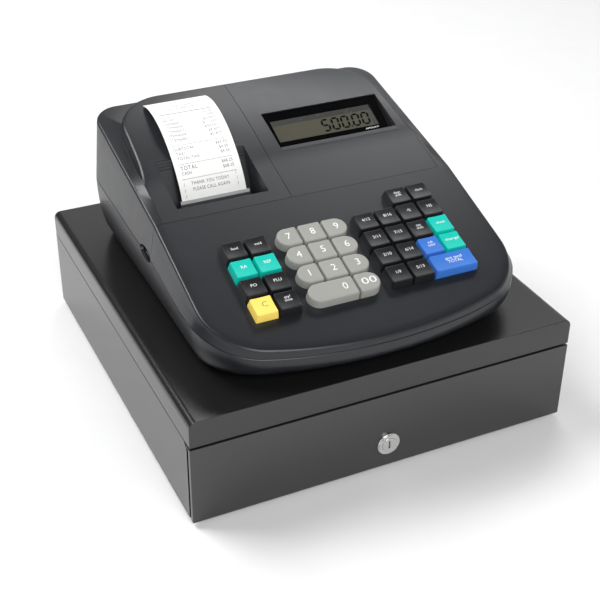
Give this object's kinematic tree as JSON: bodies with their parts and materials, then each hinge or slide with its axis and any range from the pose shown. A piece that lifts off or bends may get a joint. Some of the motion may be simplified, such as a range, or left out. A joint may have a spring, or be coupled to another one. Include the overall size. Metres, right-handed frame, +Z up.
{
  "type": "cash register",
  "caption": "Countertop cash register: printing keyboard head with sloping display on a steel cash drawer cabinet; the drawer, lock, keys, clips, rollers and printer cover move.",
  "frame": {"origin": "on the surface it stands on, under the middle of the cabinet", "axes": "+Z up, -Y the way the drawer opens (the front), +X to the right seen from the front"},
  "size_m": [0.33, 0.3528, 0.2206],
  "materials": {
    "cabinet_paint": "satin black powder coat",
    "bare_steel": "zinc plated sheet",
    "foot_rubber": "moulded",
    "till_plastic": "fine grain",
    "clip_plastic": "smooth",
    "lock_chrome": "nickel plated",
    "case_plastic": "fine spark texture",
    "window_plastic": "gloss",
    "lcd_glass": "satin",
    "tear_plastic": "translucent",
    "paper": "thermal paper",
    "mechanism_plastic": "smooth",
    "platen_rubber": "ground",
    "circuit_board": "solder mask",
    "key_black": "satin",
    "key_teal": "satin",
    "key_yellow": "satin",
    "key_blue": "satin",
    "key_grey": "satin"
  },
  "bodies": {
    "cabinet": {"cabinet_body": "cabinet_paint", "cabinet_cover": "cabinet_paint", "rubber_feet": "foot_rubber", "head_base": "case_plastic", "upper_case": "case_plastic", "display_window": "window_plastic", "display_lcd": "lcd_glass", "printer_unit": "mechanism_plastic", "main_board": "circuit_board"},
    "drawer": {"drawer_tray": "bare_steel", "drawer_front": "cabinet_paint", "till_insert": "till_plastic", "lock_barrel": "lock_chrome"},
    "lock_plug": {"lock_plug": "lock_chrome"},
    "drawer_latch": {"drawer_latch": "bare_steel"},
    "printer_cover": {"printer_cover": "case_plastic", "tear_bar": "tear_plastic", "receipt": "paper"},
    "paper_roll": {"paper_roll": "paper"},
    "platen_roller": {"platen_roller": "platen_rubber"},
    "bill_clip_1": {"bill_clip_1": "clip_plastic"},
    "bill_clip_2": {"bill_clip_2": "clip_plastic"},
    "bill_clip_3": {"bill_clip_3": "clip_plastic"},
    "bill_clip_4": {"bill_clip_4": "clip_plastic"},
    "key_feed": {"key_feed": "key_black"},
    "key_void": {"key_void": "key_black"},
    "key_on_account": {"key_on_account": "key_teal"},
    "key_refund": {"key_refund": "key_teal"},
    "key_paid_out": {"key_paid_out": "key_black"},
    "key_look_up": {"key_look_up": "key_black"},
    "key_clear": {"key_clear": "key_yellow"},
    "key_quantity": {"key_quantity": "key_black"},
    "key_digit_7": {"key_digit_7": "key_grey"},
    "key_digit_8": {"key_digit_8": "key_grey"},
    "key_digit_9": {"key_digit_9": "key_grey"},
    "key_digit_4": {"key_digit_4": "key_grey"},
    "key_digit_5": {"key_digit_5": "key_grey"},
    "key_digit_6": {"key_digit_6": "key_grey"},
    "key_digit_1": {"key_digit_1": "key_grey"},
    "key_digit_2": {"key_digit_2": "key_grey"},
    "key_digit_3": {"key_digit_3": "key_grey"},
    "key_digit_0": {"key_digit_0": "key_grey"},
    "key_digit_00": {"key_digit_00": "key_grey"},
    "key_department_shift": {"key_department_shift": "key_black"},
    "key_clerk": {"key_clerk": "key_black"},
    "key_department_4": {"key_department_4": "key_black"},
    "key_department_8": {"key_department_8": "key_black"},
    "key_percent": {"key_percent": "key_black"},
    "key_no_sale": {"key_no_sale": "key_black"},
    "key_department_3": {"key_department_3": "key_black"},
    "key_department_7": {"key_department_7": "key_black"},
    "key_tax_shift": {"key_tax_shift": "key_black"},
    "key_check": {"key_check": "key_teal"},
    "key_department_2": {"key_department_2": "key_black"},
    "key_department_6": {"key_department_6": "key_black"},
    "key_subtotal": {"key_subtotal": "key_blue"},
    "key_charge": {"key_charge": "key_teal"},
    "key_department_1": {"key_department_1": "key_black"},
    "key_department_5": {"key_department_5": "key_black"},
    "key_total": {"key_total": "key_blue"}
  },
  "joints": [
    {"name": "drawer_slide", "type": "slide", "parent": "cabinet", "child": "drawer", "axis": [0, -1, 0], "range_m": [0, 0.25]},
    {"name": "lock_turn", "type": "hinge", "parent": "drawer", "child": "lock_plug", "pos_m": [0, -0.175, 0.026], "axis": [0, 1, 0], "range_deg": [0, 90]},
    {"name": "bill_clip_1_lift", "type": "hinge", "parent": "drawer", "child": "bill_clip_1", "pos_m": [0, 0.107, 0.04021], "axis": [-1, 0, 0], "range_deg": [0, 60], "stiffness_Nm_per_rad": 0.03, "springref_deg": -28.65},
    {"name": "bill_clip_2_lift", "type": "hinge", "parent": "drawer", "child": "bill_clip_2", "pos_m": [0, 0.107, 0.04021], "axis": [-1, 0, 0], "range_deg": [0, 60], "stiffness_Nm_per_rad": 0.03, "springref_deg": -28.65},
    {"name": "bill_clip_3_lift", "type": "hinge", "parent": "drawer", "child": "bill_clip_3", "pos_m": [0, 0.107, 0.04021], "axis": [-1, 0, 0], "range_deg": [0, 60], "stiffness_Nm_per_rad": 0.03, "springref_deg": -28.65},
    {"name": "bill_clip_4_lift", "type": "hinge", "parent": "drawer", "child": "bill_clip_4", "pos_m": [0, 0.107, 0.04021], "axis": [-1, 0, 0], "range_deg": [0, 60], "stiffness_Nm_per_rad": 0.03, "springref_deg": -28.65},
    {"name": "latch_swing", "type": "hinge", "parent": "cabinet", "child": "drawer_latch", "pos_m": [0, 0.16, 0.042], "axis": [1, 0, 0], "range_deg": [0, 9.5]},
    {"name": "printer_cover_lift", "type": "slide", "parent": "cabinet", "child": "printer_cover", "axis": [0, 0, 1], "range_m": [0, 0.08]},
    {"name": "paper_roll_spin", "type": "hinge", "parent": "cabinet", "child": "paper_roll", "pos_m": [0, 0.082, 0.146], "axis": [1, 0, 0], "continuous": true},
    {"name": "platen_spin", "type": "hinge", "parent": "cabinet", "child": "platen_roller", "pos_m": [0, 0.022, 0.144], "axis": [1, 0, 0], "continuous": true},
    {"name": "key_feed_press", "type": "slide", "parent": "cabinet", "child": "key_feed", "axis": [0, 0.309, -0.9511], "range_m": [0, 0.0032], "stiffness_N_per_m": 120, "springref_m": -0.004},
    {"name": "key_void_press", "type": "slide", "parent": "cabinet", "child": "key_void", "axis": [0, 0.309, -0.9511], "range_m": [0, 0.0032], "stiffness_N_per_m": 120, "springref_m": -0.004},
    {"name": "key_on_account_press", "type": "slide", "parent": "cabinet", "child": "key_on_account", "axis": [0, 0.309, -0.9511], "range_m": [0, 0.0032], "stiffness_N_per_m": 120, "springref_m": -0.004},
    {"name": "key_refund_press", "type": "slide", "parent": "cabinet", "child": "key_refund", "axis": [0, 0.309, -0.9511], "range_m": [0, 0.0032], "stiffness_N_per_m": 120, "springref_m": -0.004},
    {"name": "key_paid_out_press", "type": "slide", "parent": "cabinet", "child": "key_paid_out", "axis": [0, 0.309, -0.9511], "range_m": [0, 0.0032], "stiffness_N_per_m": 120, "springref_m": -0.004},
    {"name": "key_look_up_press", "type": "slide", "parent": "cabinet", "child": "key_look_up", "axis": [0, 0.309, -0.9511], "range_m": [0, 0.0032], "stiffness_N_per_m": 120, "springref_m": -0.004},
    {"name": "key_clear_press", "type": "slide", "parent": "cabinet", "child": "key_clear", "axis": [0, 0.309, -0.9511], "range_m": [0, 0.0032], "stiffness_N_per_m": 120, "springref_m": -0.004},
    {"name": "key_quantity_press", "type": "slide", "parent": "cabinet", "child": "key_quantity", "axis": [0, 0.309, -0.9511], "range_m": [0, 0.0032], "stiffness_N_per_m": 120, "springref_m": -0.004},
    {"name": "key_digit_7_press", "type": "slide", "parent": "cabinet", "child": "key_digit_7", "axis": [0, 0.309, -0.9511], "range_m": [0, 0.0032], "stiffness_N_per_m": 120, "springref_m": -0.004},
    {"name": "key_digit_8_press", "type": "slide", "parent": "cabinet", "child": "key_digit_8", "axis": [0, 0.309, -0.9511], "range_m": [0, 0.0032], "stiffness_N_per_m": 120, "springref_m": -0.004},
    {"name": "key_digit_9_press", "type": "slide", "parent": "cabinet", "child": "key_digit_9", "axis": [0, 0.309, -0.9511], "range_m": [0, 0.0032], "stiffness_N_per_m": 120, "springref_m": -0.004},
    {"name": "key_digit_4_press", "type": "slide", "parent": "cabinet", "child": "key_digit_4", "axis": [0, 0.309, -0.9511], "range_m": [0, 0.0032], "stiffness_N_per_m": 120, "springref_m": -0.004},
    {"name": "key_digit_5_press", "type": "slide", "parent": "cabinet", "child": "key_digit_5", "axis": [0, 0.309, -0.9511], "range_m": [0, 0.0032], "stiffness_N_per_m": 120, "springref_m": -0.004},
    {"name": "key_digit_6_press", "type": "slide", "parent": "cabinet", "child": "key_digit_6", "axis": [0, 0.309, -0.9511], "range_m": [0, 0.0032], "stiffness_N_per_m": 120, "springref_m": -0.004},
    {"name": "key_digit_1_press", "type": "slide", "parent": "cabinet", "child": "key_digit_1", "axis": [0, 0.309, -0.9511], "range_m": [0, 0.0032], "stiffness_N_per_m": 120, "springref_m": -0.004},
    {"name": "key_digit_2_press", "type": "slide", "parent": "cabinet", "child": "key_digit_2", "axis": [0, 0.309, -0.9511], "range_m": [0, 0.0032], "stiffness_N_per_m": 120, "springref_m": -0.004},
    {"name": "key_digit_3_press", "type": "slide", "parent": "cabinet", "child": "key_digit_3", "axis": [0, 0.309, -0.9511], "range_m": [0, 0.0032], "stiffness_N_per_m": 120, "springref_m": -0.004},
    {"name": "key_digit_0_press", "type": "slide", "parent": "cabinet", "child": "key_digit_0", "axis": [0, 0.309, -0.9511], "range_m": [0, 0.0032], "stiffness_N_per_m": 120, "springref_m": -0.004},
    {"name": "key_digit_00_press", "type": "slide", "parent": "cabinet", "child": "key_digit_00", "axis": [0, 0.309, -0.9511], "range_m": [0, 0.0032], "stiffness_N_per_m": 120, "springref_m": -0.004},
    {"name": "key_department_shift_press", "type": "slide", "parent": "cabinet", "child": "key_department_shift", "axis": [0, 0.309, -0.9511], "range_m": [0, 0.0032], "stiffness_N_per_m": 120, "springref_m": -0.004},
    {"name": "key_clerk_press", "type": "slide", "parent": "cabinet", "child": "key_clerk", "axis": [0, 0.309, -0.9511], "range_m": [0, 0.0032], "stiffness_N_per_m": 120, "springref_m": -0.004},
    {"name": "key_department_4_press", "type": "slide", "parent": "cabinet", "child": "key_department_4", "axis": [0, 0.309, -0.9511], "range_m": [0, 0.0032], "stiffness_N_per_m": 120, "springref_m": -0.004},
    {"name": "key_department_8_press", "type": "slide", "parent": "cabinet", "child": "key_department_8", "axis": [0, 0.309, -0.9511], "range_m": [0, 0.0032], "stiffness_N_per_m": 120, "springref_m": -0.004},
    {"name": "key_percent_press", "type": "slide", "parent": "cabinet", "child": "key_percent", "axis": [0, 0.309, -0.9511], "range_m": [0, 0.0032], "stiffness_N_per_m": 120, "springref_m": -0.004},
    {"name": "key_no_sale_press", "type": "slide", "parent": "cabinet", "child": "key_no_sale", "axis": [0, 0.309, -0.9511], "range_m": [0, 0.0032], "stiffness_N_per_m": 120, "springref_m": -0.004},
    {"name": "key_department_3_press", "type": "slide", "parent": "cabinet", "child": "key_department_3", "axis": [0, 0.309, -0.9511], "range_m": [0, 0.0032], "stiffness_N_per_m": 120, "springref_m": -0.004},
    {"name": "key_department_7_press", "type": "slide", "parent": "cabinet", "child": "key_department_7", "axis": [0, 0.309, -0.9511], "range_m": [0, 0.0032], "stiffness_N_per_m": 120, "springref_m": -0.004},
    {"name": "key_tax_shift_press", "type": "slide", "parent": "cabinet", "child": "key_tax_shift", "axis": [0, 0.309, -0.9511], "range_m": [0, 0.0032], "stiffness_N_per_m": 120, "springref_m": -0.004},
    {"name": "key_check_press", "type": "slide", "parent": "cabinet", "child": "key_check", "axis": [0, 0.309, -0.9511], "range_m": [0, 0.0032], "stiffness_N_per_m": 120, "springref_m": -0.004},
    {"name": "key_department_2_press", "type": "slide", "parent": "cabinet", "child": "key_department_2", "axis": [0, 0.309, -0.9511], "range_m": [0, 0.0032], "stiffness_N_per_m": 120, "springref_m": -0.004},
    {"name": "key_department_6_press", "type": "slide", "parent": "cabinet", "child": "key_department_6", "axis": [0, 0.309, -0.9511], "range_m": [0, 0.0032], "stiffness_N_per_m": 120, "springref_m": -0.004},
    {"name": "key_subtotal_press", "type": "slide", "parent": "cabinet", "child": "key_subtotal", "axis": [0, 0.309, -0.9511], "range_m": [0, 0.0032], "stiffness_N_per_m": 120, "springref_m": -0.004},
    {"name": "key_charge_press", "type": "slide", "parent": "cabinet", "child": "key_charge", "axis": [0, 0.309, -0.9511], "range_m": [0, 0.0032], "stiffness_N_per_m": 120, "springref_m": -0.004},
    {"name": "key_department_1_press", "type": "slide", "parent": "cabinet", "child": "key_department_1", "axis": [0, 0.309, -0.9511], "range_m": [0, 0.0032], "stiffness_N_per_m": 120, "springref_m": -0.004},
    {"name": "key_department_5_press", "type": "slide", "parent": "cabinet", "child": "key_department_5", "axis": [0, 0.309, -0.9511], "range_m": [0, 0.0032], "stiffness_N_per_m": 120, "springref_m": -0.004},
    {"name": "key_total_press", "type": "slide", "parent": "cabinet", "child": "key_total", "axis": [0, 0.309, -0.9511], "range_m": [0, 0.0032], "stiffness_N_per_m": 120, "springref_m": -0.004}
  ],
  "couplings": [
    {"joint": "platen_spin", "follows": "paper_roll_spin", "ratio": 4.6667}
  ]
}
